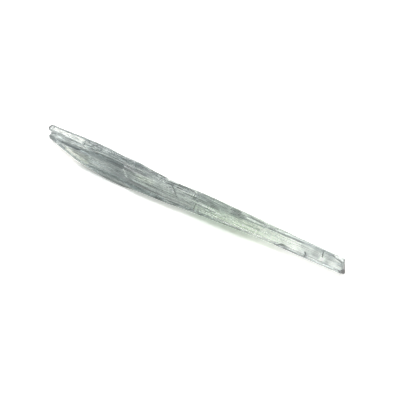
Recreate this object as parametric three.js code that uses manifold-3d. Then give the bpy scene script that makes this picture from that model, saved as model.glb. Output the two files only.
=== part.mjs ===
// A vivianite crystal: one long, thin, glassy blade, broken into splinters at its thick end
// and closed by its own slanted faces at its slim end.
//
// The blade is a parallel growth of laths that share one set of crystal faces. In section it is
// a flattened hexagon: broad cleavage faces {010} above and below, and prism faces {110} that
// slope at 54 degrees along both sides. It lies on its lower cleavage face.
//
// Millimetres, +Z up. While it is built, X runs along the blade from the broken end, Y runs
// across it from the near edge to the far edge, and Z is the height over the lower face. At the
// end the blade is moved so that the origin is at the middle of its footprint.

import * as THREE from "three";
import { ConvexGeometry } from "three/addons/geometries/ConvexGeometry.js";
import { mergeVertices } from "three/addons/utils/BufferGeometryUtils.js";
import Module from "manifold-3d";

const wasm = await Module();
wasm.setup();

// ---- Driving dimensions ------------------------------------------------------------------

const PRISM_ANGLE = THREE.MathUtils.degToRad(54); // slope of a {110} face against {010}
const BEVEL_RUN = 1 / Math.tan(PRISM_ANGLE); // how far a {110} face runs in per unit of height
const BROAD_Z = 2.45; // the broad upper face
const FAR_ARRIS_Z = 1.6; // the far arris, where the two far {110} faces meet
const BAND_Z_START = 2.95; // the raised band along the far edge, at the broken end
const BAND_SLOPE = -0.0056; // how it comes down towards the slim end
const PLATE_Z = BROAD_Z + 0.18; // the hooked plate that lies on the broad face
const WAIST_X = 29.9; // where the near side stops being blunt and becomes undercut
const SHOULDER_X = 66.7; // where the near wedge of the blade ends

// ---- Solids ------------------------------------------------------------------------------

// Turns a closed three.js geometry into a solid that can be joined and cut.
function solid(geometry) {
  const plain = new THREE.BufferGeometry();
  plain.setAttribute("position", geometry.getAttribute("position"));
  if (geometry.index) plain.setIndex(geometry.index);
  const merged = mergeVertices(plain, 1e-4);
  const mesh = new wasm.Mesh({
    numProp: 3,
    vertProperties: merged.attributes.position.array,
    triVerts: new Uint32Array(merged.index.array),
  });
  return new wasm.Manifold(mesh);
}

const point = (x, y, z) => new THREE.Vector3(x, y, z);
const hull = (points) => solid(new ConvexGeometry(points));
const hullOf = (rows) => hull(rows.map((row) => point(...row)));
const join = (solids) => solids.reduce((whole, piece) => whole.add(piece));
const cut = (body, solids) => solids.reduce((rest, piece) => rest.subtract(piece), body);

// One hexagonal section of the blade at x. The near and far arrises stand at their own heights,
// and {110} faces run in from them to the upper and lower {010} faces.
function section(x, { near, nearZ, far, farZ, top, bottom = 0 }) {
  const run = (height) => height * BEVEL_RUN;
  return [
    point(x, near, nearZ),
    point(x, near + run(top - nearZ), top),
    point(x, far - run(top - farZ), top),
    point(x, far, farZ),
    point(x, far - run(farZ - bottom), bottom),
    point(x, near + run(nearZ - bottom), bottom),
  ];
}

// A lath that stands `lift` proud of a face, from the point `a` of that face to the point `b`.
// It is as wide as `widths` say at its two ends, which `slant` cuts off askew and `rake` slopes.
// Its flanks slope like prism faces and it is rooted a little way into what it grew on.
const UP = [0, 0, 1];
function lath({ a, b, widths, lift, root = 0.35, normal = UP, slant, rake = [0.5, 0.5] }) {
  const up = point(...normal).normalize();
  const along = point(...b).sub(point(...a)).normalize();
  const across = up.clone().cross(along);
  const spread = (lift + root) * BEVEL_RUN;
  const points = [a, b].flatMap((end, i) => {
    const outward = i === 0 ? -rake[0] : rake[1];
    return [-1, 1].flatMap((side) => {
      const edge = point(...end).addScaledVector(across, (side * widths[i]) / 2);
      const crest = edge.clone().addScaledVector(along, (side * slant[i]) / 2);
      const foot = crest.clone().addScaledVector(across, side * spread);
      return [
        crest.addScaledVector(up, lift),
        foot.addScaledVector(along, outward).addScaledVector(up, -root),
      ];
    });
  });
  return hull(points);
}

// Splits off whatever lies beyond the plane through three points, as a crystal parts along a
// flat break. `side` says on which side of the plane the waste is.
const WASTE = 300;
function cleave(body, [a, b, c], side) {
  const through = point(...a);
  const normal = point(...b).sub(through).cross(point(...c).sub(through)).normalize();
  if (normal.dot(point(...side)) < 0) normal.negate();
  const waste = new THREE.BoxGeometry(WASTE, WASTE, WASTE);
  waste.translate(0, 0, WASTE / 2);
  waste.applyQuaternion(new THREE.Quaternion().setFromUnitVectors(point(0, 0, 1), normal));
  waste.translate(...a);
  return body.subtract(solid(waste));
}

// A shell-shaped fracture, cut where a smooth lens of the given half sizes meets the crystal.
function conchoid([x, y, z], [halfX, halfY, halfZ]) {
  const lens = new THREE.SphereGeometry(1, 14, 9);
  lens.scale(halfX, halfY, halfZ);
  lens.translate(x, y, z);
  return solid(lens);
}

// ---- The body of the blade ---------------------------------------------------------------

// The long core that runs from the splinters to the slanted faces of the slim end.
function core() {
  return hull([
    ...section(2.6, { near: 0.9, nearZ: 1.9, far: 6.72, farZ: FAR_ARRIS_Z, top: BROAD_Z }),
    point(86.5, 2.45, 2.2),
    point(86.5, 2.6, BROAD_Z),
    point(86.45, 4.1, BROAD_Z),
    point(85.3, 6.75, BROAD_Z),
    point(84.9, 7.6, 1.25),
    point(85.5, 6.7, 0),
    point(86.7, 4.71, 0),
    point(86.5, 4.05, 0),
  ]);
}

// The thick part behind the broken end. Its near side is blunt and comes down to the lower
// face at its middle.
function shoulder() {
  return hullOf([
    [2.3, 2.85, 1.9],
    [11.2, 0.14, 1.9],
    [14, 0.06, 1.5],
    [19.5, 0.03, 0.6],
    [24.7, 0, 0.3],
    [WAIST_X, 0.14, 1.6],
    [12, 1.39, BROAD_Z],
    [17.65, 0.58, BROAD_Z],
    [WAIST_X, 0.76, BROAD_Z],
    [2.3, 3, BROAD_Z],
    [2.3, 6, BROAD_Z],
    [WAIST_X, 6, BROAD_Z],
    [19.5, 0.3, 0],
    [24.7, 0.2, 0],
    [WAIST_X, 1.3, 0],
    [2.6, 5, 0.2],
    [WAIST_X, 6, 0],
    [11, 2.1, 0],
  ]);
}

// The wedge along the near edge, undercut all the way, that narrows to the shoulder.
function nearWedge() {
  const behind = { far: 7, farZ: FAR_ARRIS_Z, top: BROAD_Z };
  return join([
    hull([
      ...section(WAIST_X, { ...behind, near: 0.14, nearZ: 1.6 }),
      ...section(53.6, { ...behind, near: 1.13, nearZ: 2.15 }),
      ...section(42.8, { ...behind, near: 0.58, nearZ: 1.75 }),
    ]),
    hull([
      ...section(53.6, { ...behind, near: 1.13, nearZ: 2.15 }),
      ...section(SHOULDER_X, { ...behind, near: 1.98, nearZ: 2.2 }),
    ]),
  ]);
}

// ---- The raised band along the far edge ----------------------------------------------------

const bandTop = (x) => BAND_Z_START + BAND_SLOPE * x;

// A stretch of the band. Each row of `ridge` is a point of its near edge with the run of the
// sloping face below it, which ends a little way inside the broad face. Each row of `far` is a
// point of its far arris.
const BAND_FOOT_Z = 0.5;
function bandStretch(ridge, far) {
  const steps = ridge.flatMap(([x, y, run]) => [
    point(x, y, bandTop(x)),
    point(x, y - run * 1.3, BROAD_Z - 0.15),
  ]);
  const backs = far.flatMap(([x, y]) => [
    point(x, y - (bandTop(x) - FAR_ARRIS_Z) * BEVEL_RUN, bandTop(x)),
    point(x, y, FAR_ARRIS_Z),
    point(x, y - (FAR_ARRIS_Z - BAND_FOOT_Z) * BEVEL_RUN, BAND_FOOT_Z),
    point(x, y - 2.2, BAND_FOOT_Z),
  ]);
  return hull([...steps, ...backs]);
}

function band() {
  return join([
    bandStretch(
      [[1.8, 2.95, 0.3], [9.3, 3.2, 0.45], [13.7, 3.95, 0.8], [15.4, 4.3, 0.95]],
      [[0.9, 7.38], [15.4, 7.5]],
    ),
    bandStretch([[12.5, 4.1, 0.8], [24.5, 4.88, 1.05]], [[12, 7.5], [24.5, 7.55]]),
    bandStretch([[21, 4.88, 0.9], [37, 5.18, 0.2]], [[21, 7.55], [29.3, 7.33], [36.5, 6.95]]),
    bandStretch([[28, 5.05, 0.3], [66.7, 5.7, 0.15]], [[28, 6.9], [66.7, 7.2]]),
    bandStretch([[64, 5.63, 0.2], [73, 5.97, 0.15], [81, 6.45, 0.1]], [[64, 7.3], [81, 7.42]]),
  ]);
}

// The lath that makes the far edge again beyond the gap in it.
function farLath() {
  return hullOf([
    [37.6, 6.1, 2.74],
    [43.9, 6.52, 2.74],
    [59, 6.68, 2.64],
    [83, 6.8, BROAD_Z + 0.02],
    [37.3, 6.95, 1.6],
    [44, 7.36, 1.6],
    [59, 7.47, 1.6],
    [84, 7.5, 1.4],
    [39, 6.3, 0.6],
    [83, 6.7, 0.5],
    [40, 5.5, 1.5],
    [83, 5.5, 1.5],
  ]);
}

// The crest that stands on the far edge of the thick part: a thin upright lath at the broken
// end, then a wider one with a leaning top.
function crest() {
  return join([
    hullOf([
      [0.7, 6.12, 3.18],
      [0.7, 6.28, 3.18],
      [15.2, 6.26, 3.3],
      [15.2, 6.46, 3.3],
      [0.6, 5.8, 2.7],
      [17.5, 5.9, 2.7],
      [0.7, 7.25, 1.8],
      [16, 7.5, 1.8],
    ]),
    hullOf([
      [11.5, 5.9, 3.12],
      [14, 6.45, 3.3],
      [25.6, 6.45, 3.28],
      [23.5, 5.5, 2.98],
      [11, 5.6, 2.7],
      [24.5, 5.2, 2.7],
      [29.5, 6.2, 2.86],
      [13, 7.5, 1.8],
      [25.8, 7.55, 1.75],
      [29.5, 7.2, 1.6],
    ]),
  ]);
}

// ---- Laths, plates and breaks ------------------------------------------------------------

// The two bright facets near the ends. Both tilt away from the near side by the same angle.
const FACET_TILT = Math.tan(THREE.MathUtils.degToRad(10));
function brightFacets() {
  const tilted = (height, [nearX, nearY]) => (x, y) => {
    return point(x, y, height - (y - nearY) * FACET_TILT);
  };
  const left = tilted(3.19, [1.6, 4.8]);
  const right = tilted(BROAD_Z + 0.1, [85.4, 5.8]);
  return join([
    hull([
      left(1.5, 4.98),
      left(10.6, 4.66),
      left(10.25, 6.3),
      left(1.3, 6.2),
      point(1.5, 4.7, 2.6),
      point(10.8, 4.3, 2.6),
      point(10.6, 6.4, 2.2),
      point(1.4, 6.3, 2.2),
    ]),
    hull([
      right(85.6, 5.72),
      right(81.8, 6.6),
      right(85.25, 6.82),
      point(85.8, 5.5, 2.1),
      point(81.6, 6.4, 2.1),
      point(85.1, 7.0, 1.9),
    ]),
  ]);
}

// Laths that stand proud of the faces, each with its own start and finish.
const FAR_OVER = [0, Math.sin(PRISM_ANGLE), Math.cos(PRISM_ANGLE)];
const FAR_UNDER = [0, Math.sin(PRISM_ANGLE), -Math.cos(PRISM_ANGLE)];
const onBand = (x, y) => [x, y, bandTop(x)];
const onFace = (x, y) => [x, y, BROAD_Z];
const LATHS = [
  // on the band at the broken end, side by side
  { a: onBand(2.1, 3.3), b: onBand(10.2, 3.62), widths: [0.2, 0.16], lift: 0.1, slant: [0.5, 1.6] },
  { a: onBand(2.6, 3.8), b: onBand(9.4, 4.12), widths: [0.32, 0.2], lift: 0.13, slant: [0.9, 1.2] },
  { a: onBand(2.2, 4.35), b: onBand(7.4, 4.5), widths: [0.2, 0.05], lift: 0.08, slant: [0.3, 0.2] },
  { a: onBand(10.9, 4.4), b: onBand(12.9, 4.5), widths: [0.45, 0.4], lift: 0.16, slant: [0.3, 0.5] },
  // on the band above the sloping face
  { a: onBand(17.4, 4.95), b: onBand(31, 5.4), widths: [0.06, 0.3], lift: 0.12, slant: [0, 2.2] },
  { a: onBand(21, 5.55), b: onBand(34, 5.72), widths: [0.25, 0.1], lift: 0.12, slant: [1.2, 1] },
  { a: onBand(15, 5.2), b: onBand(19.6, 5.3), widths: [0.3, 0.25], lift: 0.1, slant: [1, 0.7] },
  // on the band beyond the gap
  { a: onBand(38.7, 5.62), b: onBand(42.4, 5.66), widths: [0.06, 0.22], lift: 0.1, slant: [0, 0.5] },
  { a: onBand(44, 6.15), b: onBand(72, 6.45), widths: [0.4, 0.12], lift: 0.1, slant: [2.4, 1.5] },
  { a: onBand(56.4, 5.72), b: onBand(63.4, 5.8), widths: [0.5, 0.2], lift: 0.14, slant: [1.6, 1.9] },
  // on the broad face, ending one after another towards the slim end
  { a: onFace(39.8, 4.5), b: onFace(43.3, 4.68), widths: [0.12, 0.42], lift: 0.14, slant: [0, 0.3] },
  { a: onFace(42.9, 2.93), b: onFace(52.2, 3.12), widths: [0.36, 0.14], lift: 0.12, slant: [0.4, 2] },
  { a: onFace(45.6, 1.78), b: onFace(53.5, 2.1), widths: [0.08, 0.3], lift: 0.08, slant: [0, 1.4] },
  { a: onFace(51, 2.0), b: onFace(66.6, 2.45), widths: [0.5, 0.3], lift: 0.08, slant: [2.5, 0.4] },
  { a: onFace(55, 3.85), b: onFace(72, 4.25), widths: [0.05, 0.3], lift: 0.07, slant: [0, 3] },
  { a: onFace(57.5, 4.9), b: onFace(66, 5.1), widths: [0.4, 0.2], lift: 0.09, slant: [1.5, 2] },
  { a: onFace(13.6, 2.1), b: onFace(21.6, 1.9), widths: [0.3, 0.6], lift: 0.07, slant: [1.8, 1.4] },
  { a: onFace(7.6, 2.35), b: onFace(13.2, 2.62), widths: [0.1, 0.4], lift: 0.06, slant: [0, 1.5] },
  // along the far side, over and under its arris
  { a: [5, 7.0, 2.2], b: [22, 7.15, 2.15], widths: [0.3, 0.7], lift: 0.12, normal: FAR_OVER },
  { a: [48, 7.05, 2.05], b: [70, 7.1, 2.0], widths: [0.5, 0.2], lift: 0.1, normal: FAR_OVER },
  { a: [4, 6.85, 0.85], b: [31, 6.7, 0.9], widths: [0.3, 0.6], lift: 0.15, normal: FAR_UNDER },
  { a: [42, 6.85, 0.85], b: [66, 6.95, 0.8], widths: [0.6, 0.3], lift: 0.1, normal: FAR_UNDER },
].map((row) => ({ slant: [1.5, 2], ...row }));

// Long grooves, where a lath has parted from a face and left its bed. Each is the shape of a
// lath set into the face, so its `normal` points into the crystal and `lift` is its depth.
const INTO_NEAR_UNDER = [0, Math.sin(PRISM_ANGLE), Math.cos(PRISM_ANGLE)];
const INTO_FAR_UNDER = [0, -Math.sin(PRISM_ANGLE), Math.cos(PRISM_ANGLE)];
const GROOVES = [
  { a: [33, 0.78, 0.9], b: [58, 2.0, 1.1], widths: [0.4, 0.2], normal: INTO_NEAR_UNDER },
  { a: [61, 2.75, 0.7], b: [80, 3.3, 0.75], widths: [0.15, 0.4], normal: INTO_NEAR_UNDER },
  { a: [34, 6.3, 1.0], b: [40, 6.35, 1.0], widths: [0.4, 0.6], normal: INTO_FAR_UNDER },
  { a: [8, 3.6, 0], b: [41, 3.3, 0], widths: [0.3, 0.8], normal: UP },
  { a: [36, 5.1, 0], b: [83, 5.7, 0], widths: [0.5, 0.3], normal: UP },
].map((row) => ({ lift: 0.12, slant: [3, -4], rake: [1, 1], ...row }));

// The thin plate on the broad face that ends in a hooked step.
function hookedPlate() {
  const outline = new THREE.Shape();
  outline.moveTo(22.6, 5.2);
  outline.lineTo(22.8, 3.5);
  outline.quadraticCurveTo(23.4, 2.5, 25.1, 1.74);
  outline.lineTo(31, 2.25);
  outline.lineTo(39.25, 2.5);
  outline.lineTo(37.6, 3.98);
  outline.quadraticCurveTo(36.7, 4.95, 35.9, 4.95);
  outline.lineTo(33.5, 5.3);
  const plate = new THREE.ExtrudeGeometry(outline, {
    depth: PLATE_Z - 2,
    bevelEnabled: false,
    curveSegments: 6,
  });
  plate.translate(0, 0, 2);
  return solid(plate);
}

// The splinters at the broken end. Each is a lath that broke off at its own length: `tip` holds
// the corners of its broken face, and `root` the corners, as [y, z], where it joins the blade.
const SPLINTER_ROOT_X = 4;
const SPLINTERS = [
  {
    tip: [[0.05, 5.1, 2.9], [0.35, 6.25, 3.0], [0.3, 5.0, 2.1], [0.5, 6.9, 2.0]],
    root: [[4.6, 2.95], [6.3, 3.0], [4.6, 2.0], [7.1, 1.9]],
  },
  {
    tip: [[1.0, 5.4, 2.0], [0.7, 7.2, 1.7], [1.3, 6.4, 0.6], [1.2, 5.3, 0.9]],
    root: [[5.0, 2.1], [7.3, 1.7], [6.5, 0.5], [5.0, 0.5]],
  },
  {
    tip: [[1.75, 4.1, 2.7], [1.5, 5.1, 2.4], [1.9, 4.2, 1.2], [1.6, 5.4, 0.9]],
    root: [[4.0, 2.8], [5.5, 2.8], [4.0, 0.8], [5.5, 0.8]],
  },
  {
    tip: [[1.5, 2.98, 2.9], [1.75, 4.1, 2.9], [1.9, 2.95, 2.0], [1.8, 4.1, 1.8]],
    root: [[2.98, 2.7], [4.1, 2.9], [2.9, 1.8], [4.1, 1.5]],
  },
  {
    tip: [[2.2, 3.2, 1.7], [2.0, 4.4, 1.4], [2.5, 4.0, 0.5]],
    root: [[2.6, 1.8], [4.6, 1.5], [4.0, 0.3]],
  },
];
function splinter({ tip, root }) {
  return hullOf([...tip, ...root.map(([y, z]) => [SPLINTER_ROOT_X, y, z])]);
}

// ---- Assembly ----------------------------------------------------------------------------

function lowerBody() {
  let body = join([core(), shoulder()]);
  body = cleave(body, [[2.3, 2.85, 1.9], [11.2, 0.14, 1.9], [8.5, 2.6, 0]], [-1, -3, 0]);
  body = cleave(body, [[8.35, 2.0, 2.45], [14.1, 1.04, 2.45], [11.2, 0.14, 1.9]], [0, -1, 2]);
  body = cleave(body, [[12, 0, 0], [12, 6, 0], [2, 5, 0.35]], [0, 0, -1]);
  return body.add(nearWedge());
}

const whole = join([
  lowerBody(),
  band(),
  crest(),
  farLath(),
  ...SPLINTERS.map(splinter),
  brightFacets(),
  hookedPlate(),
  ...LATHS.map(lath),
]);

const blade = cut(whole, [
  conchoid([69.5, 2.1, 2.75], [2.3, 1.05, 0.6]),
  conchoid([11.4, 0, 2.0], [0.35, 0.3, 0.5]),
  ...GROOVES.map(lath),
]);

// Gives a solid back as a mesh whose footprint is centred on the origin.
function meshOf(body, name, material) {
  const { vertProperties, triVerts } = body.getMesh();
  const geometry = new THREE.BufferGeometry();
  geometry.setAttribute("position", new THREE.BufferAttribute(vertProperties, 3));
  geometry.setIndex(new THREE.BufferAttribute(triVerts, 1));
  geometry.computeBoundingBox();
  const middle = geometry.boundingBox.getCenter(point(0, 0, 0));
  geometry.translate(-middle.x, -middle.y, -geometry.boundingBox.min.z);
  const flat = geometry.toNonIndexed();
  flat.computeVertexNormals();
  const mesh = new THREE.Mesh(flat, material);
  mesh.name = name;
  return mesh;
}

const vivianite = new THREE.MeshStandardMaterial({
  color: 0xa8b4ae,
  roughness: 0.15,
  metalness: 0,
});

const specimen = new THREE.Group();
specimen.add(meshOf(blade, "crystal", vivianite));

export default specimen;
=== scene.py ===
"""A vivianite crystal: a long glassy blade, grey and cloudy in its thick part and clear green-white
towards its slim end, lying on a white table under a soft studio sky."""

import math

import bpy
import numpy as np
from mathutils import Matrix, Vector, noise


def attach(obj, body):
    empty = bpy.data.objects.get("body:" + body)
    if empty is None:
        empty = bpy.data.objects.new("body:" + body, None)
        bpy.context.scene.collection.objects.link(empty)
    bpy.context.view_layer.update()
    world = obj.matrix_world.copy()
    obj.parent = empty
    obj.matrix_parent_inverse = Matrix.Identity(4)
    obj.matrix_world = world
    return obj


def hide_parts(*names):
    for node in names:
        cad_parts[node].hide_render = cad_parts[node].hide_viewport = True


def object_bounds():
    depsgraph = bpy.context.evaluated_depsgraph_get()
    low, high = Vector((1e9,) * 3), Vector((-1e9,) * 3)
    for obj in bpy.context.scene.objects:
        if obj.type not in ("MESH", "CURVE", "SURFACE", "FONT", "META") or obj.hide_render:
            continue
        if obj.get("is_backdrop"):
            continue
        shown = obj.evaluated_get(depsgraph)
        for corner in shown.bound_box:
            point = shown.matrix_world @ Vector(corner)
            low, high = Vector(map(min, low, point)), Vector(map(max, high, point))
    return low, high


MM = 0.001

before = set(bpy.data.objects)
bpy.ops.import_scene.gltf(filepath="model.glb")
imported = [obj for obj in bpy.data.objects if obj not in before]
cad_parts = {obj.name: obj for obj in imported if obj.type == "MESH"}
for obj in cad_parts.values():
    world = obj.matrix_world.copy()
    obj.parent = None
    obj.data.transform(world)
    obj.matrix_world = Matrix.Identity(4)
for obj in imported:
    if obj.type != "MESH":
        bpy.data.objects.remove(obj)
CAD_LOW, CAD_HIGH = (Vector(corner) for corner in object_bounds())

# Places on the blade are given in millimetres along it from the broken end, across it from the
# near side, and up from the face it lies on.
BLADE_ORIGIN = CAD_LOW - Vector((0.05, 0, 0)) * MM


def at(x, y, z):
    """A place on the blade, in metres in the row frame."""
    return BLADE_ORIGIN + Vector((x, y, z)) * MM


# ---- masks over the blade ----------------------------------------------------------------------


def smoothstep(low, high, value):
    """0 up to the low value, 1 from the high one, and a soft rise between them."""
    t = np.clip((value - low) / (high - low), 0, 1)
    return t * t * (3 - 2 * t)


def window(span, soft, value):
    """1 inside the span, 0 outside it, with edges `soft` wide centred on its ends."""
    low, high = span
    rise = smoothstep(low - soft / 2, low + soft / 2, value)
    return rise * (1 - smoothstep(high - soft / 2, high + soft / 2, value))


def patch(x, y, along, across, soft):
    """1 inside a span along the blade and one across it, fading out over their soft edges."""
    return window(along, soft[0], x) * window(across, soft[1], y)


def path_distance(x, y, path):
    """How far each place lies from a line through the given places."""
    nearest = np.full(len(x), np.inf)
    for (ax, ay), (bx, by) in zip(path, path[1:]):
        dx, dy = bx - ax, by - ay
        share = np.clip(((x - ax) * dx + (y - ay) * dy) / (dx * dx + dy * dy), 0, 1)
        nearest = np.minimum(nearest, np.hypot(x - ax - share * dx, y - ay - share * dy))
    return nearest


def inside(x, y, corners, soft):
    """1 inside a convex outline given anticlockwise, fading to 0 across its edges."""
    depth = np.full(len(x), np.inf)
    for (ax, ay), (bx, by) in zip(corners, corners[1:] + corners[:1]):
        dx, dy = bx - ax, by - ay
        depth = np.minimum(depth, (dx * (y - ay) - dy * (x - ax)) / math.hypot(dx, dy))
    return smoothstep(-soft, soft, depth)


# Bright facets at both ends, painted white as highlights: the corners of each on the upper side, in
# mm.
BRIGHT_FACETS = (
    ((1.2, 4.98), (10.1, 4.62), (10.1, 6.15), (1.6, 6.1)),
    ((82.3, 6.3), (85.5, 5.7), (84.9, 7.6), (82.8, 7.6)),
)
BRIGHT_SOFT = 0.1  # how soft their edges are, in mm


def bright_facets(x, y):
    """1 on the bright facets."""
    return np.max([inside(x, y, corners, BRIGHT_SOFT) for corners in BRIGHT_FACETS], axis=0)


# The span with round clouds in it in place of long streaks, and how soft its ends are, in mm.
CLOUDY, CLOUDY_SOFT = (72.5, 86), 4


# ---- the blade's mesh --------------------------------------------------------------------------

SLICES = ((0, 0.5), (1, 0.11), (2, 0.2))  # axis, and the spacing of its cuts in mm
FIRST_SLICE = 0.37  # where the first cut lies, as a share of the spacing
CRACK_SLICE = 0.11  # the spacing of the cuts along the blade near a crack
CRACK_MARGIN = 0.2  # how far they reach past it
MOST_TRIANGLES = 190_000  # left on the blade once it is thinned
SHARP_EDGE = math.radians(14)  # a larger turn between two triangles shows as an edge
NODE_DECIMALS, MESH_DECIMALS = 5, 4  # of the places, in mm, at which points count as one


def points_once(points, decimals):
    """The points with doubles left out, and the new number of each old point."""
    _, first, place = np.unique(
        np.round(points, decimals), axis=0, return_index=True, return_inverse=True
    )
    return points[first], place.ravel()


def node_mesh(name):
    """The points, in blade millimetres, and the triangles of a CAD node."""
    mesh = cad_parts[name].data
    mesh.calc_loop_triangles()
    points = np.array([v.co - BLADE_ORIGIN for v in mesh.vertices]) / MM
    tris = np.array([t.vertices[:] for t in mesh.loop_triangles])
    points, place = points_once(points, NODE_DECIMALS)
    return points, place[tris]


def slice_at(points, tris, axis, level):
    """Cuts every triangle that crosses the plane, sharing the new points along shared edges."""
    above = points[tris, axis] > level
    count = above.sum(axis=1)
    crossing = (count == 1) | (count == 2)
    if not crossing.any():
        return points, tris
    cut, side = tris[crossing], above[crossing]
    lone = np.argmax(side == (count[crossing] == 1)[:, None], axis=1)
    order = (lone[:, None] + np.arange(3)) % 3
    a, b, c = np.take_along_axis(cut, order, axis=1).T
    edges = np.sort(np.concatenate([np.stack([a, b], 1), np.stack([a, c], 1)]), axis=1)
    unique, place = np.unique(edges, axis=0, return_inverse=True)
    start, end = points[unique[:, 0]], points[unique[:, 1]]
    share = (level - start[:, axis]) / (end[:, axis] - start[:, axis])
    made = start + (end - start) * share[:, None]
    place = place.ravel() + len(points)
    ab, ac = place[: len(a)], place[len(a) :]
    new = np.concatenate(
        [np.stack([a, ab, ac], 1), np.stack([ab, b, c], 1), np.stack([ab, c, ac], 1)]
    )
    return np.concatenate([points, made]), np.concatenate([tris[~crossing], new])


def refine(points, tris):
    """Cuts the mesh into a fine grid, finer still across the cracks."""
    for axis, spacing in SLICES:
        low, high = points[:, axis].min(), points[:, axis].max()
        for level in np.arange(low + spacing * FIRST_SLICE, high, spacing):
            points, tris = slice_at(points, tris, axis, level)
    for path, _, _ in CRACKS:
        xs = [x for x, _ in path]
        for level in np.arange(min(xs) - CRACK_MARGIN, max(xs) + CRACK_MARGIN, CRACK_SLICE):
            points, tris = slice_at(points, tris, 0, level)
    return points, tris


def weld(points, tris):
    """Merges points that fell on each other and drops the triangles that closed up."""
    points, place = points_once(points, MESH_DECIMALS)
    a, b, c = place[tris].T
    return points, place[tris][(a != b) & (b != c) & (c != a)]


def corner_normals(points, tris):
    """The area-weighted normal at every point."""
    a, b, c = (points[tris[:, i]] for i in range(3))
    faces = np.cross(b - a, c - a)
    normals = np.zeros_like(points)
    for i in range(3):
        np.add.at(normals, tris[:, i], faces)
    return normals / np.maximum(np.linalg.norm(normals, axis=1), 1e-9)[:, None]


# Growth striations: how high each kind is, and how long and wide its noise is, in mm.
TERRACE_HEIGHT, TERRACE_LENGTH, TERRACE_WIDTH = 0.014, 24, 0.85
LINE_HEIGHT, LINE_LENGTH, LINE_WIDTH = 0.012, 26, 0.2
WAVE_HEIGHT, WAVE_LENGTH, WAVE_WIDTH = 0.03, 11, 4
TERRACES = 5  # steps while the noise goes from 0 to 1
TERRACE_SKEW = 0.012  # sideways run of the terraces along the blade
TERRACE_EDGE = (0.3, 0.7)  # the part of a terrace over which it rises
TERRACE_SEED, LINE_SEED, WAVE_SEED = 7, 3, 11


def long_noise(points, length, width, seed, skew=0):
    """Noise drawn out along the blade."""
    places = ((x / length, (y + skew * x) / width, z / width + seed) for x, y, z in points)
    return np.array([noise.noise(Vector(place)) for place in places])


def striations(points):
    """Height in mm of the growth striations: long terraces with fine lines on them."""
    steps = long_noise(points, TERRACE_LENGTH, TERRACE_WIDTH, TERRACE_SEED, TERRACE_SKEW)
    step, part = np.divmod(steps * TERRACES, 1)
    terraces = (step + smoothstep(*TERRACE_EDGE, part)) * TERRACE_HEIGHT
    lines = long_noise(points, LINE_LENGTH, LINE_WIDTH, LINE_SEED) * LINE_HEIGHT
    waves = long_noise(points, WAVE_LENGTH, WAVE_WIDTH, WAVE_SEED) * WAVE_HEIGHT
    return terraces + lines + waves


# Smoother places, and the share of the striations that they lack. The laths are given by their
# span along the blade and across it and by how soft its edges are, in mm.
SMOOTH_LATHS = ((34.5, 43.3), (5.1, 6.6), (1.5, 0.3))
BRIGHT_SMOOTHNESS, CLOUDY_SMOOTHNESS, LATH_SMOOTHNESS = 0.85, 0.6, 0.75


def smoothness(x, y):
    """The share of the striations that is missing at each place."""
    bright = BRIGHT_SMOOTHNESS * bright_facets(x, y)
    cloudy = CLOUDY_SMOOTHNESS * window(CLOUDY, CLOUDY_SOFT, x)
    laths = LATH_SMOOTHNESS * patch(x, y, *SMOOTH_LATHS)
    return np.max([bright, cloudy, laths], axis=0)


# Cracks across the blade: where each runs on the upper side, its half width and its depth, in mm.
CRACKS = (
    (((42.65, 5.2), (42.7, 4.6), (42.95, 3.95)), 0.1, 0.12),
    (((44.35, 2.95), (44.5, 2.1), (44.8, 1.1)), 0.08, 0.12),
    (((45.6, 1.75), (46.15, 1.3), (46.1, 0.8)), 0.08, 0.12),
    (((75.6, 3.6), (76.1, 3.1), (76.3, 2.4)), 0.12, 0.25),
    (((79.45, 6.4), (79.75, 5.4), (80.2, 4.4)), 0.1, 0.2),
)

LEDGE_SLOPE = math.tan(math.radians(12))
LEDGE_BACK = 1.2  # the width in mm over which the surface comes back down behind a ledge
LEDGE_SOFT = 0.4  # how soft its ends are, in mm
# Ledges on the upper side that catch the overhead light: the line each follows and its width in mm.
LEDGES = (
    (((44.6, 3.5), (50.6, 3.3)), 0.34),
    (((46.5, 1.83), (51.4, 1.78)), 0.36),
    (((55.2, 1.9), (64, 2.1)), 0.3),
    (((39.9, 5.05), (42.5, 5.05)), 0.2),
    (((57.6, 5.62), (62.8, 5.68)), 0.12),
    (((52.2, 3.05), (62, 3.1)), 0.3),
    (((82.7, 6.2), (85.0, 6.0)), 0.6),
)


def crack_depth(x, y):
    """How far the cracks lower the surface at each place."""
    total = np.zeros(len(x))
    for path, half_width, depth in CRACKS:
        total += depth * (1 - np.clip(path_distance(x, y, path) / half_width, 0, 1))
    return total


def ledge_height(x, y):
    """How far the ledges raise the surface at each place."""
    height = np.zeros(len(x))
    for ((x0, y0), (x1, y1)), width in LEDGES:
        beyond = y - (y0 + (x - x0) * (y1 - y0) / (x1 - x0)) + width / 2
        rise = np.clip(beyond * LEDGE_SLOPE, 0, width * LEDGE_SLOPE)
        fall = np.clip(1 - (beyond - width) / LEDGE_BACK, 0, 1)
        height += rise * fall * window((x0, x1), LEDGE_SOFT, x)
    return height


RELIEF_FROM = (2.0, 2.3)  # heights in mm between which the cracks and ledges set in


def striate(points, tris):
    """Raises the striations along the normals, opens the cracks and keeps the blade on the table."""
    x, y, z = points.T
    heights = striations(points) * (1 - smoothness(x, y))
    heights += (ledge_height(x, y) - crack_depth(x, y)) * smoothstep(*RELIEF_FROM, z)
    raised = points + corner_normals(points, tris) * heights[:, None]
    raised[:, 2] = np.maximum(raised[:, 2], 0)
    return raised


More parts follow.
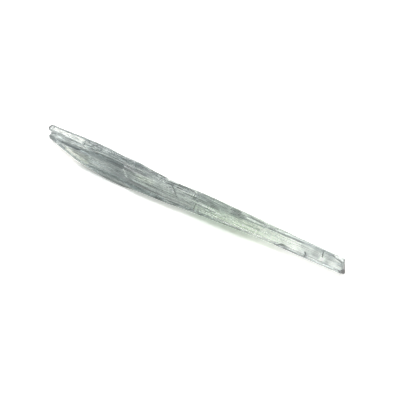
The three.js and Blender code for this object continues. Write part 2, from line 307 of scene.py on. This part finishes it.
# How much wider the blade is than its CAD solid: the span along it, how soft the ends are, and the
# width in mm added at the near or the far side.
NEAR_SPREAD = (((27, 40), 6, 0.4), ((66, 90), 6, 0.22))
FAR_SPREAD = (((7, 19), 6, 0.3), ((22.5, 28.5), 3, 0.15), ((27, 47), 6, 0.15))
NEAR_EDGE = ((27, 0.4), (66, 2.2))  # places on the near edge
NEAR_REACH = 1.6  # how far behind it the widening still tells
FAR_REACH = (5, 6.6)  # across the blade, where the far widening starts and where it is full


def spread(points):
    """Moves the near and far edges out a little where the blade is wider than its solid."""
    x, y, _ = points.T
    moved = points.copy()
    near_side = 1 - smoothstep(0, NEAR_REACH, y - np.interp(x, *zip(*NEAR_EDGE)))
    far_side = smoothstep(*FAR_REACH, y)
    for span, soft, width in NEAR_SPREAD:
        moved[:, 1] -= width * window(span, soft, x) * near_side
    for span, soft, width in FAR_SPREAD:
        moved[:, 1] += width * window(span, soft, x) * far_side
    return moved


# ---- colour zones, painted light and shade -----------------------------------------------------

# How clear the crystal is along the blade: the share of light that its upper side lets through.
CLEARNESS_ALONG = (
    (0, 0.5),
    (6, 0.4),
    (12, 0.38),
    (20, 0.37),
    (26, 0.31),
    (40, 0.34),
    (47, 0.5),
    (54, 0.87),
    (62, 0.95),
    (70, 0.66),
    (87, 0.64),
)
# How clear its near flank is painted; its low values along the thick part are painted shade.
FLANK_SHADE_ALONG = (
    (4, 0.7),
    (12, 0.7),
    (14, 0.09),
    (28, 0.09),
    (36, 0.13),
    (43, 0.25),
    (52, 0.6),
)
FAR_FLANK_CLEARNESS = 0.5  # of the back slope near the slim end
# painted shade: the face that cuts off the slim end is made darker
END_FACE_SHADE = 0.22  # of the face that cuts off the slim end
UNDERSIDE_CLEARNESS = 0.92
# painted highlight: the bright facets are made fully clear so that they show white
BRIGHT_FACET_HIGHLIGHT = 1.0  # of the bright facets
CRACK_SHADE = 0.55  # the share of the clearness that is lost in a crack
CLOUDS = 0.4  # how strong the clouds are
CLOUDS_SOFT = 3  # how soft the ends of their span are, in mm

# Patches of the upper side: the span along the blade and across it in mm, how soft the ends and
# the sides are, and the clearness inside.
PATCHES = (
    # the middle of the thick part, and the band of painted shade along its near edge
    ((11.5, 20.5), (0.9, 2.7), (3, 0.6), 0.46),
    ((8.6, 13.4), (1.8, 3.1), (1.6, 0.4), 0.16),
    ((21.3, 26.2), (0.4, 2.3), (1.8, 0.8), 0.17),
    ((14.5, 21.5), (-0.5, 0.6), (2, 0.3), 0.48),
    ((25.5, 45), (0.4, 1.42), (3, 0.4), 0.07),
    # the back of the thick part and the laths of its broken end
    ((11, 22), (4.7, 6.3), (2, 0.3), 0.65),
    ((24, 43), (4.9, 6.3), (2, 0.3), 0.62),
    ((37, 43), (4.95, 6.3), (2, 0.3), 1),
    ((10.6, 15.6), (4.6, 6.3), (1.0, 0.3), 0.14),
    ((10.1, 12.6), (4.6, 5.4), (0.4, 0.3), 0.12),
    ((1, 10), (3.3, 4.7), (1, 0.2), 0.15),
    ((1, 4.8), (3.2, 4.9), (1.0, 0.3), 0.3),
    ((9.3, 10.3), (3.3, 4.6), (0.4, 0.2), 0.32),
    ((17, 32), (5.5, 6.1), (4, 0.3), 0.6),
    ((10.1, 10.9), (4.7, 6.2), (0.3, 0.2), 0.36),
    ((11.0, 12.5), (5.25, 5.85), (0.6, 0.4), 0.38),
    ((13.2, 14.3), (5.2, 5.65), (0.4, 0.2), 0.6),
    ((14.4, 14.9), (5.2, 6.0), (0.3, 0.3), 0.36),
    ((10.3, 11.9), (4.0, 4.6), (0.3, 0.2), 0.65),
    ((2.0, 9.6), (3.2, 3.65), (1.0, 0.15), 0.36),
    # the plate: its green gleam and its far side
    ((26.5, 32), (2.5, 4.0), (2.5, 0.7), 0.48),
    ((31, 35.8), (3.7, 4.6), (2, 0.4), 0.4),
    # the dark ground between the plate and the ridge
    ((22.8, 26.5), (3.3, 4.2), (1.5, 0.5), 0.08),
    ((22.8, 29.5), (3.95, 4.75), (1.8, 0.5), 0.08),
    # bands that begin at the first crack
    ((43.0, 50.3), (3.95, 5.05), (0.2, 0.2), 0.21),
    ((46.0, 52.5), (4.9, 5.35), (1.0, 0.2), 0.15),
    ((43.0, 50.6), (5.35, 6.4), (1.0, 0.3), 0.45),
    ((50, 57), (4.05, 4.9), (2.4, 0.5), 0.32),
    ((50, 59), (4.9, 6.7), (2.4, 0.5), 0.28),
    ((53.5, 57.6), (4.9, 6.9), (1.6, 0.8), 0.14),
    # the green middle
    ((50.7, 67), (1.3, 4.0), (0.6, 0.6), 0.72),
    ((54.5, 61), (2.6, 3.6), (1.5, 0.4), 1),
    ((60, 68), (1.8, 4.2), (3, 0.6), 0.8),
    # grey laths at the back of the green middle and past it
    ((57.6, 63.6), (5.55, 6.4), (1.2, 0.3), 0.2),
    ((57.2, 64), (5.3, 5.7), (1.0, 0.2), 0.3),
    ((57.4, 63.5), (4.95, 5.35), (1.0, 0.2), 0.16),
    ((62.5, 73), (5.9, 6.6), (2.0, 0.3), 0.6),
    # the whitish end: its back band, its cloudy patches and its near edge
    ((64, 75), (3.6, 5.6), (2, 0.6), 0.8),
    ((66, 87), (6.5, 7.6), (3, 0.3), 0.55),
    ((73.8, 82.4), (2.9, 5.8), (2, 0.8), 0.48),
    ((77.5, 78.9), (3.6, 5.6), (0.7, 0.7), 0.32),
    ((80.6, 82.4), (2.9, 6.3), (0.8, 0.5), 0.3),
    ((79.7, 81.3), (2.3, 4.95), (0.8, 1.0), 0.82),
    ((82.5, 84.7), (2.4, 5.3), (0.6, 0.5), 0.52),
    ((84.6, 87), (3.9, 5.6), (0.8, 0.5), 0.16),
    ((84.9, 87), (2.3, 3.9), (0.8, 0.4), 0.6),
    ((69.9, 81.5), (2.1, 3.05), (1.5, 0.4), 0.92),
    ((82.6, 84.4), (2.4, 4.2), (0.6, 0.5), 0.7),
)

# Facets of the upper side with painted light and shade: the corners of each anticlockwise, how soft
# its edges are, and the clearness inside.
LIT_AND_SHADED_FACETS = (
    # the pale facet at the near side of the thick part, painted light, and the dark face that slopes
    # down behind it, painted shade
    (((6.6, 1.2), (8, 0.2), (11, -0.6), (14.8, -0.6), (14.6, 0.9), (9.8, 1.8), (7.6, 2.1)), 0.25, 0.9),
    (((5, 2.8), (13.6, 3.05), (13.4, 3.85), (11, 3.75), (5, 3)), 0.2, 0.08),
    (((12.6, 3.05), (23.7, 3.25), (23.6, 4.65), (18.5, 4.6), (13.4, 4.45)), 0.2, 0.105),
    # the chip in the near edge, painted dark
    (((67.6, 1.9), (70.9, 1.9), (70.9, 2.5), (70.6, 2.9), (69.3, 3.0), (68.2, 2.55)), 0.08, 0.3),
)

# Narrow lines of painted highlight and painted shade on the upper side: the line each follows and its
# half width, in mm, and the clearness along it.
LIT_AND_SHADED_LINES = (
    # a faint spot on the bright facet
    (((7.0, 5.55), (8.2, 5.5)), 0.28, 0.6),
    # the pale lower tip of the broken end
    (((1.6, 3.5), (3.4, 3.35)), 0.24, 0.9),
    # painted light on the near edge behind it
    (((4.2, 2.2), (7.2, 1.0)), 0.35, 1),
    # painted shade: dark lines round the sloping dark face of the thick part and behind its pale facet
    (((15.5, 4.15), (19, 4.3), (23.2, 4.4)), 0.22, 0.35),
    (((4.6, 2.92), (6, 2.92), (9.5, 3.1)), 0.16, 0.22),
    (((9.3, 1.82), (11.4, 1.6), (13.6, 1.3)), 0.14, 0.12),
    # painted highlights and painted shade: pale and dark lines on the back of the thick part and along
    # the far edge
    (((22.2, 5.0), (26, 5.02), (35, 5.0)), 0.2, 1),
    (((25, 4.7), (35, 4.65)), 0.15, 0.25),
    (((25, 5.6), (31.5, 5.75)), 0.24, 0.2),
    (((13.8, 4.55), (16.6, 4.75)), 0.14, 0.8),
    (((2.0, 4.45), (5.5, 4.2), (9.3, 3.85)), 0.07, 0.25),
    (((0.7, 6.25), (6, 6.3), (17, 6.35), (27, 6.3)), 0.2, 0.3),
    (((17, 6.35), (26, 6.35)), 0.09, 0.4),
    (((27.5, 6.3), (35, 6.1)), 0.16, 0.95),
    (((45, 6.45), (56, 6.6)), 0.16, 0.18),
    (((56, 6.55), (70, 6.6), (81, 6.62)), 0.06, 0.4),
    # the curved breaks that end the plate, the second dark with a pale edge, and its near side
    (((22.9, 3.3), (23.6, 2.8), (24.4, 2.1), (25.1, 1.6)), 0.12, 0.7),
    (((34.7, 4.95), (36.2, 5.05), (36.9, 4.5), (38.3, 3.1), (39.1, 2.45)), 0.15, 0.07),
    (((34.9, 4.6), (36, 4.65), (36.6, 4.25), (37.7, 3.15)), 0.11, 0.62),
    (((30, 2.45), (39, 2.62)), 0.1, 0.3),
    # painted highlights along the laths before the first crack
    (((37.9, 5.6), (42.4, 5.6)), 0.13, 0.95),
    (((39.6, 5.08), (43.0, 5.08)), 0.15, 0.85),
    (((39.0, 4.6), (42.5, 4.65)), 0.12, 0.65),
    (((40.9, 3.55), (43.3, 3.5)), 0.1, 0.65),
    # painted highlights, adding to the glints of the ledges, and lines of painted shade round the
    # cracks and over the green middle
    (((43.4, 3.5), (46.2, 3.5)), 0.14, 0.6),
    (((46.2, 3.48), (50.8, 3.3)), 0.17, 1),
    (((43.2, 3.08), (48, 3.03), (49.6, 2.9)), 0.17, 0.12),
    (((47.5, 2.15), (51, 2.08)), 0.12, 0.3),
    (((46.7, 1.82), (51.4, 1.79)), 0.2, 1),
    (((48.2, 2.5), (51, 2.45)), 0.08, 0.65),
    (((44.9, 2.1), (46.1, 1.75)), 0.2, 0.65),
    (((45.9, 1.75), (46.5, 1.2), (46.4, 0.8)), 0.12, 1),
    (((51.8, 2.95), (54.3, 2.9)), 0.12, 0.78),
    (((55.2, 3.25), (59.5, 3.1), (66, 3.0)), 0.2, 1),
    (((55.2, 1.85), (60, 1.95), (67, 2.3)), 0.2, 1),
    (((54.9, 2.4), (54.9, 1.3)), 0.15, 0.55),
    (((56.0, 6.2), (57.6, 6.25)), 0.25, 0.55),
    (((57.5, 5.48), (63.0, 5.5)), 0.1, 0.6),
    (((58.4, 3.58), (60.4, 3.64)), 0.08, 0.4),
    (((59.8, 3.64), (62.4, 3.66)), 0.13, 0.18),
    (((63.4, 3.66), (64.8, 3.64)), 0.09, 0.4),
    (((54.8, 2.35), (60, 2.45), (67, 2.5)), 0.1, 0.45),
    # painted shade along the foot of the back band and the edge of the bright facet that ends it
    (((64.0, 5.55), (69.5, 5.8), (74.2, 5.95)), 0.21, 0.12),
    (((74.6, 6.1), (79, 6.25), (81.9, 6.45)), 0.12, 0.14),
    (((81.7, 6.4), (83.2, 5.78), (84.4, 5.5), (85.4, 5.4)), 0.19, 0.1),
    # painted shade along the near edge, but for a pale stretch of painted light, and along the rim of
    # the end face
    (((19, 0.3), (28, 0.4), (34, 0.6)), 0.3, 0.5),
    (((35, 0.65), (40, 0.78), (46, 0.8)), 0.3, 0.6),
    (((46.4, 0.74), (51.1, 0.85), (55, 1.05), (58, 1.3)), 0.24, 0.17),
    (((60.5, 1.75), (66.9, 2.15)), 0.32, 1),
    (((85.2, 6.8), (86.3, 4.1), (86.45, 2.6)), 0.2, 0.2),
    (((70.8, 2.2), (79, 2.12), (86.5, 2.15)), 0.16, 0.17),
    # painted shade on the chip's darkest lines
    (((67.7, 2.25), (68.4, 2.45), (69.2, 2.8)), 0.17, 0.08),
    (((69.1, 2.85), (70.2, 2.92)), 0.26, 0.06),
    (((70.2, 2.92), (71.1, 2.8)), 0.12, 0.15),
    # painted shade on the sides of the forked crack
    (((76.1, 3.2), (76.35, 2.4)), 0.13, 0.12),
    (((76.95, 3.9), (76.3, 3.1)), 0.13, 0.25),
)

# Where each side begins and where it rules alone: a height, or a place along the blade, in mm, or
# how far the surface leans that way.
UPPER_FROM = (0.9, 1.5)
NEAR_LEAN, FAR_LEAN, END_LEAN, UNDER_LEAN = (0.3, 0.7), (0.4, 0.8), (0.5, 0.8), (0.75, 0.95)
FAR_FLANK_FROM, END_FROM = (60, 68), (84, 85)

MARK_EDGE = (0.5, 1.5)  # where a mark starts to fade and where it ends, in its half widths
CRACK_EDGE = (1, 2)  # the same for the shade of a crack

WOBBLE = (0.3, 0.14)  # along and across the blade, in mm
LINE_WOBBLE = 0.2  # the share of it that moves thin lines and facets
WOBBLE_NOISE = ((2.5, 0.6, 5), (1.6, 0.5, 29))  # how long and wide each is in mm, and its seed
CLOUD_NOISE = (1.2, 1.1, 41)


def flat_noise(points, length, width, seed):
    """Noise that is the same at every height."""
    return np.array([noise.noise(Vector((x / length, y / width, seed))) for x, y, _ in points])


def wobble(points):
    """Small shifts along and across the blade, so that no zone has a straight edge."""
    return np.stack([flat_noise(points, *kind) for kind in WOBBLE_NOISE], axis=1) * WOBBLE


def clouds(points):
    """The round clouds near the slim end, from -1 to 1."""
    return flat_noise(points, *CLOUD_NOISE) * window(CLOUDY, CLOUDS_SOFT, points[:, 0])


def toward(share, start, end):
    """The value that lies this share of the way from the start to the end."""
    return start + (end - start) * share


def soft_clearness_and_shade(points, x, y, upper):
    """How clear the blade is along its length, with the soft patches and clouds of its upper side and
    a band of painted shade.
    """
    clear = np.interp(x, *zip(*CLEARNESS_ALONG))
    for along, across, soft, inside_value in PATCHES:
        clear = toward(patch(x, y, along, across, soft) * upper, clear, inside_value)
    return clear * (1 + CLOUDS * clouds(points) * upper)


def clearness_and_painted_light(points, normals):
    """How much light the surface lets through at each point, with painted shade and painted highlights
    laid over it.
    """
    shifts = wobble(points)
    x, y = (points[:, :2] + shifts).T
    line_x, line_y = (points[:, :2] + shifts * LINE_WOBBLE).T
    upper = smoothstep(*UPPER_FROM, points[:, 2])
    clear = soft_clearness_and_shade(points, x, y, upper)
    # painted light and painted shade on the facets
    for corners, soft, inside_value in LIT_AND_SHADED_FACETS:
        clear = toward(inside(line_x, line_y, corners, soft) * upper, clear, inside_value)
    far_flank = smoothstep(*FAR_LEAN, normals[:, 1]) * smoothstep(*FAR_FLANK_FROM, x)
    clear = toward(far_flank, clear, FAR_FLANK_CLEARNESS)
    # painted highlight on the bright facets
    clear = toward(bright_facets(line_x, line_y) * upper, clear, BRIGHT_FACET_HIGHLIGHT)
    # painted highlights and painted shade along narrow lines
    for path, half_width, on_line in LIT_AND_SHADED_LINES:
        distance = path_distance(line_x, line_y, path) / half_width
        clear = toward((1 - smoothstep(*MARK_EDGE, distance)) * upper, clear, on_line)
    for path, half_width, _ in CRACKS:
        distance = path_distance(line_x, line_y, path) / half_width
        clear *= 1 - CRACK_SHADE * (1 - smoothstep(*CRACK_EDGE, distance)) * upper
    # painted shade on the near flank of the thick part
    near_flank = smoothstep(*NEAR_LEAN, -normals[:, 1]) * (1 - upper)
    clear = toward(near_flank, clear, np.interp(x, *zip(*FLANK_SHADE_ALONG)))
    # painted shade on the end face
    end_face = smoothstep(*END_LEAN, normals[:, 0]) * smoothstep(*END_FROM, x)
    clear = toward(end_face, clear, END_FACE_SHADE)
    return toward(smoothstep(*UNDER_LEAN, -normals[:, 2]), clear, UNDERSIDE_CLEARNESS)


# How green the crystal is along the blade.
GREEN_ALONG = (
    (0, 0.05),
    (26, 0.1),
    (43, 0.35),
    (49, 0.7),
    (58, 1.0),
    (66, 0.6),
    (74, 0.2),
    (87, 0.05),
)
GREEN_SHARE = 0.5  # of the full tint on the upper side; the near flank has it all
GREY_BACK = ((0, 66), (4.4, 9), (6, 0.8))  # the back of the blade, greyer than its near part
GREY_BACK_LOSS = 0.65  # the share of the green that it lacks
GLEAMS = (  # small greener patches: along and across the blade, and how soft the edges are, in mm
    ((27, 32), (2.4, 4.1), (2, 0.6)),
    ((44.7, 46.2), (1.5, 2.3), (0.4, 0.2)),
    ((7, 14), (0, 2.3), (1, 0.4)),
)
GLEAM = 0.8  # how green they are
GREEN_FLANK, GREEN_FLANK_SOFT = (20, 66), 12  # the span of the near flank with the full tint, in mm
GREEN_LEAN, GREEN_TURN = (0.4, 0.7), (-0.3, 0.1)  # how far it leans out and down


def greenness(points, normals):
    """How much of the green tint the surface has at each point."""
    x, y, _ = points.T
    green = np.interp(x, *zip(*GREEN_ALONG)) * (1 - GREY_BACK_LOSS * patch(x, y, *GREY_BACK))
    for gleam in GLEAMS:
        green = np.maximum(green, GLEAM * patch(x, y, *gleam))
    flank = smoothstep(*GREEN_LEAN, -normals[:, 1]) * smoothstep(*GREEN_TURN, -normals[:, 2])
    return toward(flank * window(GREEN_FLANK, GREEN_FLANK_SOFT, x), GREEN_SHARE * green, 1)


GLASSY, FROSTED = 0.06, 0.45  # roughness
FROSTED_TO = ((4.5, 4.2), (5, 1.8))  # across the blade, and how far along the frosted end reaches
FROSTED_SOFT = 1.2


def roughness(points):
    """Glassy along the blade and frosted on the splinters of the broken end."""
    x, y, _ = points.T
    frosted_to = np.interp(y, *zip(*FROSTED_TO))
    splinters = 1 - smoothstep(frosted_to - FROSTED_SOFT, frosted_to, x)
    return toward(splinters, GLASSY, FROSTED)


STREAKS_LOST = 0.65  # the share of the streaks that the cloudy span lacks


def paint(blade, points, normals):
    """Stores the zones on the mesh for the material, painted light and shade among them."""
    zones = {
        "clearness_and_painted_light": clearness_and_painted_light(points, normals),
        "greenness": greenness(points, normals),
        "roughness": roughness(points),
        "streaks": 1 - STREAKS_LOST * window(CLOUDY, CLOUDY_SOFT, points[:, 0]),
    }
    for name, values in zones.items():
        attribute = blade.data.attributes.new(name, "FLOAT", "POINT")
        attribute.data.foreach_set("value", values.astype(np.float32))


# ---- the blade ---------------------------------------------------------------------------------


def make_object(name, places, faces):
    mesh = bpy.data.meshes.new(name)
    mesh.from_pydata(places, [], faces)
    obj = bpy.data.objects.new(name, mesh)
    bpy.context.scene.collection.objects.link(obj)
    return obj


def thin(obj, most):
    """Collapses the smallest edges until no more than `most` triangles are left."""
    modifier = obj.modifiers.new("thin", "DECIMATE")
    modifier.ratio = most / len(obj.data.polygons)
    thinned = obj.evaluated_get(bpy.context.evaluated_depsgraph_get())
    obj.data = bpy.data.meshes.new_from_object(thinned)
    obj.modifiers.clear()


def shade(obj):
    """Shades the mesh smooth but for its sharper edges."""
    obj.data.shade_smooth()
    obj.data.set_sharp_from_angle(angle=SHARP_EDGE)


def make_blade():
    points, tris = weld(*refine(*node_mesh("crystal")))
    points = striate(points, tris)
    blade = make_object("blade", [at(*p) for p in spread(points)], tris.tolist())
    paint(blade, points, corner_normals(points, tris))
    thin(blade, MOST_TRIANGLES)
    shade(blade)
    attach(blade, "root")
    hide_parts("crystal")
    return blade


# ---- material ----------------------------------------------------------------------------------

GREY_TINT = (0.8, 0.95, 1.0, 1)
CLEAR_TINT = (1.0, 1.0, 0.975, 1)
GREEN_TINT = (0.92, 1.0, 0.8, 1)
# the clearest streaks, the painted highlights among them, are left paler, as an untinted reflection is
PALER = (-0.5, 1.25)  # slope and start: the clearest streaks are less green
GRAIN = (  # how fine the grain is along X, Y and Z, in steps per mm, and how strong it is
    ((0.12, 3.0, 3.0), 0.65),
    ((0.5, 6.0, 6.0), 0.6),
    ((1.6, 3.5, 3.5), 0.6),
)
IOR = 1.6
INSIDE_COLOUR = (0.5, 0.65, 0.57, 1)  # the colour of the light that gets through the inside
ABSORPTION = 40.0  # how fast the inside takes the rest, per metre
MIX_FACTOR, MIX_A, MIX_B, MIX_RESULT = 0, 6, 7, 2  # the sockets of a Mix node set to colours


class Graph:
    """Short calls for building a tree of shader nodes."""

    def __init__(self, tree):
        self.nodes, self.links = tree.nodes, tree.links

    def feed(self, socket, value):
        if isinstance(value, bpy.types.NodeSocket):
            self.links.new(value, socket)
        else:
            socket.default_value = value

    def add(self, kind, **inputs):
        node = self.nodes.new(kind)
        for name, value in inputs.items():
            self.feed(node.inputs[name.replace("_", " ")], value)
        return node

    def math(self, operation, *values):
        node = self.nodes.new("ShaderNodeMath")
        node.operation = operation
        for socket, value in zip(node.inputs, values):
            self.feed(socket, value)
        return node.outputs[0]

    def vector_math(self, operation, *values):
        node = self.nodes.new("ShaderNodeVectorMath")
        node.operation = operation
        for socket, value in zip(node.inputs, values):
            self.feed(socket, value)
        return node

    def mix(self, factor, a, b, blend="MIX"):
        node = self.nodes.new("ShaderNodeMix")
        node.data_type, node.blend_type = "RGBA", blend
        self.feed(node.inputs[MIX_FACTOR], factor)
        self.feed(node.inputs[MIX_A], a)
        self.feed(node.inputs[MIX_B], b)
        return node.outputs[MIX_RESULT]

    def attribute(self, name):
        node = self.nodes.new("ShaderNodeAttribute")
        node.attribute_name = name
        return node.outputs["Fac"]

    def smoothstep(self, low, high, value):
        node = self.nodes.new("ShaderNodeMapRange")
        node.interpolation_type = "SMOOTHSTEP"
        self.feed(node.inputs[0], value)
        node.inputs[1].default_value, node.inputs[2].default_value = low, high
        return node.outputs[0]

    def ramp(self, value, stops, interpolation="LINEAR"):
        """A colour ramp through the given positions and colours."""
        node = self.nodes.new("ShaderNodeValToRGB")
        node.color_ramp.interpolation = interpolation
        elements = node.color_ramp.elements
        while len(elements) < len(stops):
            elements.new(0.5)
        for element, (position, colour) in zip(elements, stops):
            element.position = position
            element.color = (*colour, 1)
        self.links.new(value, node.inputs[0])
        return node.outputs[0]

    def noise(self, place, scale):
        """Noise over blade millimetres, `scale` giving its fineness along X, Y and Z."""
        stretched = self.vector_math("MULTIPLY", place, [s / MM for s in scale]).outputs[0]
        node = self.add("ShaderNodeTexNoise", Vector=stretched, Scale=1.0, Detail=2.0)
        return node.outputs["Fac"]


def streaked(graph, clear, place):
    """The clearness with grain drawn out along the blade in it."""
    streaks = graph.attribute("streaks")
    for scale, amount in GRAIN:
        change = graph.math("MULTIPLY_ADD", graph.noise(place, scale), 2 * amount, -amount)
        clear = graph.math("MULTIPLY", clear, graph.math("MULTIPLY_ADD", change, streaks, 1))
    return graph.math("MINIMUM", clear, 1.0)


def vivianite():
    material = bpy.data.materials.new("vivianite")
    material.use_nodes = True
    material.node_tree.nodes.clear()
    graph = Graph(material.node_tree)
    place = graph.add("ShaderNodeTexCoord").outputs["Object"]
    clear = streaked(graph, graph.attribute("clearness_and_painted_light"), place)
    tint = graph.mix(clear, GREY_TINT, CLEAR_TINT)
    paler = graph.math("MULTIPLY_ADD", clear, *PALER)
    green = graph.math("MULTIPLY", graph.attribute("greenness"), paler)
    tint = graph.mix(green, tint, GREEN_TINT)
    shader = graph.add(
        "ShaderNodeBsdfPrincipled",
        Transmission_Weight=1.0,
        IOR=IOR,
        Roughness=graph.attribute("roughness"),
        Base_Color=graph.mix(1.0, clear, tint, "MULTIPLY"),
    )
    absorb = graph.add("ShaderNodeVolumeAbsorption", Color=INSIDE_COLOUR, Density=ABSORPTION)
    output = graph.add("ShaderNodeOutputMaterial")
    graph.links.new(shader.outputs[0], output.inputs["Surface"])
    graph.links.new(absorb.outputs[0], output.inputs["Volume"])
    return material


# ---- table -------------------------------------------------------------------------------------

TABLE_HALF = 4.0  # half its side, in metres
TABLE_GAP = 0.08 * MM  # keeps the crystal's lower face clear of the table
TABLE_COLOUR = (0.9, 0.9, 0.9, 1)
TABLE_ROUGHNESS = 0.9
# The glow paints the crystal's shadow on the table: dim where the shadow is to look deep, bright where
# it is to fade, and greener under the middle.
TABLE_GLOW = (  # place along the blade in mm, and the colour of the light from below there
    (0, (0.8, 0.79, 0.76)),
    (9, (0.66, 0.65, 0.62)),
    (14, (0.34, 0.36, 0.34)),
    (20, (0.22, 0.24, 0.23)),
    (27, (0.4, 0.42, 0.4)),
    (38, (0.41, 0.43, 0.4)),
    (49, (0.24, 0.3, 0.24)),
    (58, (0.23, 0.28, 0.22)),
    (65, (0.42, 0.46, 0.4)),
    (72, (0.64, 0.64, 0.61)),
    (87, (0.68, 0.67, 0.64)),
)


def table_glow(graph):
    """Light that comes up through the table and paints the crystal's shadow, greener under the middle
    of the blade.
    """
    split = graph.nodes.new("ShaderNodeSeparateXYZ")
    graph.links.new(graph.nodes.new("ShaderNodeTexCoord").outputs["Object"], split.inputs[0])
    length = TABLE_GLOW[-1][0]
    scale = 1 / (length * MM)
    share = graph.math("MULTIPLY_ADD", split.outputs["X"], scale, -BLADE_ORIGIN.x * scale)
    stops = [(x / length, colour) for x, colour in TABLE_GLOW]
    return graph.ramp(share, stops, "EASE")


def make_table():
    height = CAD_LOW.z - TABLE_GAP
    square = ((-1, -1), (1, -1), (1, 1), (-1, 1))
    corners = [(x * TABLE_HALF, y * TABLE_HALF, height) for x, y in square]
    table = make_object("table", corners, [(0, 1, 2, 3)])
    material = bpy.data.materials.new("white_table")
    material.use_nodes = True
    graph = Graph(material.node_tree)
    shader = graph.nodes["Principled BSDF"]
    shader.inputs["Base Color"].default_value = TABLE_COLOUR
    shader.inputs["Roughness"].default_value = TABLE_ROUGHNESS
    shader.inputs["Emission Strength"].default_value = 1.0
    graph.links.new(table_glow(graph), shader.inputs["Emission Color"])
    table.data.materials.append(material)
    table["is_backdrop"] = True


# ---- light and camera --------------------------------------------------------------------------

ROOM = (  # sine of the elevation, and the room's brightness there
    (0.0, 1.0),
    (0.08, 1.0),
    (0.16, 0.2),
    (1.0, 0.2),
)
SOFT_LIGHTS = (  # direction to the middle, angles in degrees where it is full and gone, brightness
    ((0.14, -0.08, 0.987), 13, 20, 6.2),  # overhead
    ((-0.331, 0.192, 0.924), 8, 13, 5.6),  # a small one, to glint in the ledges
    ((-0.215, 0.801, 0.559), 25, 33, 0.97),  # a window low behind the blade
)
BLACK = (0, 0, 0, 1)


def grey(value):
    return (value, value, value)


def soft_light(graph, direction, light):
    """The colour that a soft round light gives in a direction of the sky."""
    axis, full, gone, brightness = light
    facing = graph.vector_math("DOT_PRODUCT", direction, axis).outputs["Value"]
    edge = (math.cos(math.radians(gone)), math.cos(math.radians(full)))
    return graph.mix(graph.smoothstep(*edge, facing), BLACK, (*grey(brightness), 1))


def make_sky():
    """Two lights overhead, a low one behind, a dim room round them and a pale horizon."""
    world = bpy.data.worlds.new("sky")
    bpy.context.scene.world = world
    world.use_nodes = True
    graph = Graph(world.node_tree)
    direction = graph.nodes.new("ShaderNodeTexCoord").outputs["Generated"]
    split = graph.nodes.new("ShaderNodeSeparateXYZ")
    graph.links.new(direction, split.inputs[0])
    total = graph.ramp(split.outputs["Z"], [(sine, grey(value)) for sine, value in ROOM])
    for light in SOFT_LIGHTS:
        total = graph.mix(1.0, total, soft_light(graph, direction, light), "ADD")
    graph.links.new(total, graph.nodes["Background"].inputs["Color"])


VIEW_AZIMUTH = math.radians(31)
VIEW_ELEVATION = math.radians(50)
VIEW_MIDDLE = (43.375, 3.8, 1.6)  # the middle of the blade, in blade millimetres
VIEW_SHIFT = (1.44, 0.6)  # right and up from it, in mm
FRAME_WIDTH = 99.7 * MM
LENS, SENSOR = 1500, 36  # in mm: from far off, so that the view hardly narrows
CLIP = (0.01, 20)


def make_camera():
    data = bpy.data.cameras.new("camera")
    data.lens, data.sensor_width = LENS, SENSOR
    data.clip_start, data.clip_end = CLIP
    camera = bpy.data.objects.new("camera", data)
    bpy.context.scene.collection.objects.link(camera)
    a, e = VIEW_AZIMUTH, VIEW_ELEVATION
    back = Vector((math.sin(a) * math.cos(e), -math.cos(a) * math.cos(e), math.sin(e)))
    right = Vector((math.cos(a), math.sin(a), 0))
    up = back.cross(right)
    middle = at(*VIEW_MIDDLE) + (right * VIEW_SHIFT[0] + up * VIEW_SHIFT[1]) * MM
    camera.location = middle + back * (FRAME_WIDTH * LENS / SENSOR)
    camera.rotation_mode = "QUATERNION"
    camera.rotation_quaternion = (-back).to_track_quat("-Z", "Y")
    bpy.context.scene.camera = camera


def main():
    blade = make_blade()
    blade.data.materials.append(vivianite())
    make_table()
    make_sky()
    make_camera()
    bpy.context.scene.view_settings.view_transform = "Standard"


main()
